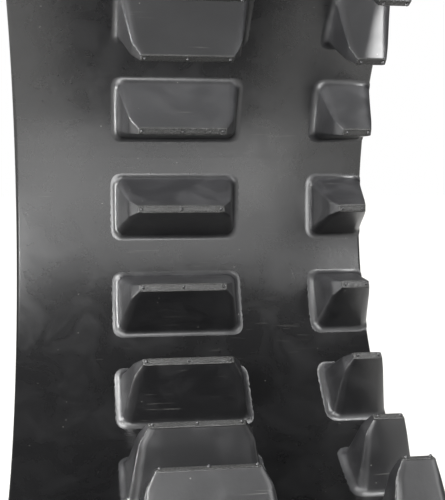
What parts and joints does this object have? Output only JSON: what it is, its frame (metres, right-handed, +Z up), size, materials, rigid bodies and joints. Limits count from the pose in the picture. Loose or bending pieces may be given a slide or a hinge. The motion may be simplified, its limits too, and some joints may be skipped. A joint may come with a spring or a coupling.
{
  "type": "rubber track",
  "caption": "Endless all-rubber track with tapered drive lugs and edge lugs inside, two smooth wheel paths and straight tread bars outside.",
  "frame": {"origin": "middle of the footprint of the lower run's tread bars", "axes": "+X across the belt, from the plain edge to the edge-lug side; +Y along the straight runs; +Z up"},
  "size_m": [0.34, 1.9162, 0.5954],
  "materials": {
    "wheel_path_rubber": "satin moulded black rubber, lightly scuffed by wheels",
    "lug_rubber": "satin moulded black rubber, abraded along the ridges",
    "tread_rubber": "matt black tread rubber",
    "cord_rubber": "rubberised tension cords",
    "ply_fabric": "rubberised woven ply"
  },
  "bodies": {
    "bottom_run": {"left_wheel_path_bottom_run": "wheel_path_rubber", "drive_lug_strip_bottom_run": "lug_rubber", "right_wheel_path_bottom_run": "wheel_path_rubber", "edge_lug_strip_bottom_run": "lug_rubber", "tension_cord_layer_bottom_run": "cord_rubber", "stiffener_ply_bottom_run": "ply_fabric", "tread_bottom_run": "tread_rubber"},
    "far_lower": {"left_wheel_path_far_lower": "wheel_path_rubber", "drive_lug_strip_far_lower": "lug_rubber", "right_wheel_path_far_lower": "wheel_path_rubber", "edge_lug_strip_far_lower": "lug_rubber", "tension_cord_layer_far_lower": "cord_rubber", "stiffener_ply_far_lower": "ply_fabric", "tread_far_lower": "tread_rubber"},
    "far_mid": {"left_wheel_path_far_mid": "wheel_path_rubber", "drive_lug_strip_far_mid": "lug_rubber", "right_wheel_path_far_mid": "wheel_path_rubber", "edge_lug_strip_far_mid": "lug_rubber", "tension_cord_layer_far_mid": "cord_rubber", "stiffener_ply_far_mid": "ply_fabric", "tread_far_mid": "tread_rubber"},
    "far_upper": {"left_wheel_path_far_upper": "wheel_path_rubber", "drive_lug_strip_far_upper": "lug_rubber", "right_wheel_path_far_upper": "wheel_path_rubber", "edge_lug_strip_far_upper": "lug_rubber", "tension_cord_layer_far_upper": "cord_rubber", "stiffener_ply_far_upper": "ply_fabric", "tread_far_upper": "tread_rubber"},
    "top_run": {"left_wheel_path_top_run": "wheel_path_rubber", "drive_lug_strip_top_run": "lug_rubber", "right_wheel_path_top_run": "wheel_path_rubber", "edge_lug_strip_top_run": "lug_rubber", "tension_cord_layer_top_run": "cord_rubber", "stiffener_ply_top_run": "ply_fabric", "tread_top_run": "tread_rubber"},
    "near_lower": {"left_wheel_path_near_lower": "wheel_path_rubber", "drive_lug_strip_near_lower": "lug_rubber", "right_wheel_path_near_lower": "wheel_path_rubber", "edge_lug_strip_near_lower": "lug_rubber", "tension_cord_layer_near_lower": "cord_rubber", "stiffener_ply_near_lower": "ply_fabric", "tread_near_lower": "tread_rubber"},
    "near_mid": {"left_wheel_path_near_mid": "wheel_path_rubber", "drive_lug_strip_near_mid": "lug_rubber", "right_wheel_path_near_mid": "wheel_path_rubber", "edge_lug_strip_near_mid": "lug_rubber", "tension_cord_layer_near_mid": "cord_rubber", "stiffener_ply_near_mid": "ply_fabric", "tread_near_mid": "tread_rubber"},
    "near_upper": {"left_wheel_path_near_upper": "wheel_path_rubber", "drive_lug_strip_near_upper": "lug_rubber", "right_wheel_path_near_upper": "wheel_path_rubber", "edge_lug_strip_near_upper": "lug_rubber", "tension_cord_layer_near_upper": "cord_rubber", "stiffener_ply_near_upper": "ply_fabric", "tread_near_upper": "tread_rubber"}
  },
  "joints": [
    {"name": "far_bottom_flex", "type": "hinge", "parent": "bottom_run", "child": "far_lower", "pos_m": [0, 0.71087, 0.04397], "axis": [-1, 0, 0], "range_deg": [-8, 12], "stiffness_Nm_per_rad": 150, "springref_deg": -4.35},
    {"name": "far_lower_flex", "type": "hinge", "parent": "far_lower", "child": "far_mid", "pos_m": [0, 0.87552, 0.15398], "axis": [1, 0, 0], "range_deg": [-8, 12], "stiffness_Nm_per_rad": 150, "springref_deg": -4.35},
    {"name": "far_upper_flex", "type": "hinge", "parent": "far_mid", "child": "far_upper", "pos_m": [0, 0.87552, 0.44146], "axis": [1, 0, 0], "range_deg": [-8, 12], "stiffness_Nm_per_rad": 150, "springref_deg": -4.35},
    {"name": "far_top_flex", "type": "hinge", "parent": "far_upper", "child": "top_run", "pos_m": [0, 0.71087, 0.55147], "axis": [-1, 0, 0], "range_deg": [-8, 12], "stiffness_Nm_per_rad": 150, "springref_deg": -4.35},
    {"name": "near_bottom_flex", "type": "hinge", "parent": "bottom_run", "child": "near_lower", "pos_m": [0, -0.71087, 0.04397], "axis": [1, 0, 0], "range_deg": [-8, 12], "stiffness_Nm_per_rad": 150, "springref_deg": -4.35},
    {"name": "near_lower_flex", "type": "hinge", "parent": "near_lower", "child": "near_mid", "pos_m": [0, -0.87552, 0.15398], "axis": [-1, 0, 0], "range_deg": [-8, 12], "stiffness_Nm_per_rad": 150, "springref_deg": -4.35},
    {"name": "near_upper_flex", "type": "hinge", "parent": "near_mid", "child": "near_upper", "pos_m": [0, -0.87552, 0.44146], "axis": [-1, 0, 0], "range_deg": [-8, 12], "stiffness_Nm_per_rad": 150, "springref_deg": -4.35}
  ],
  "couplings": [
    {"joint": "far_lower_flex", "follows": "far_bottom_flex", "ratio": 1},
    {"joint": "far_upper_flex", "follows": "far_bottom_flex", "ratio": 1},
    {"joint": "far_top_flex", "follows": "far_bottom_flex", "ratio": 1},
    {"joint": "near_bottom_flex", "follows": "far_bottom_flex", "ratio": 1},
    {"joint": "near_lower_flex", "follows": "far_bottom_flex", "ratio": 1},
    {"joint": "near_upper_flex", "follows": "far_bottom_flex", "ratio": 1}
  ]
}
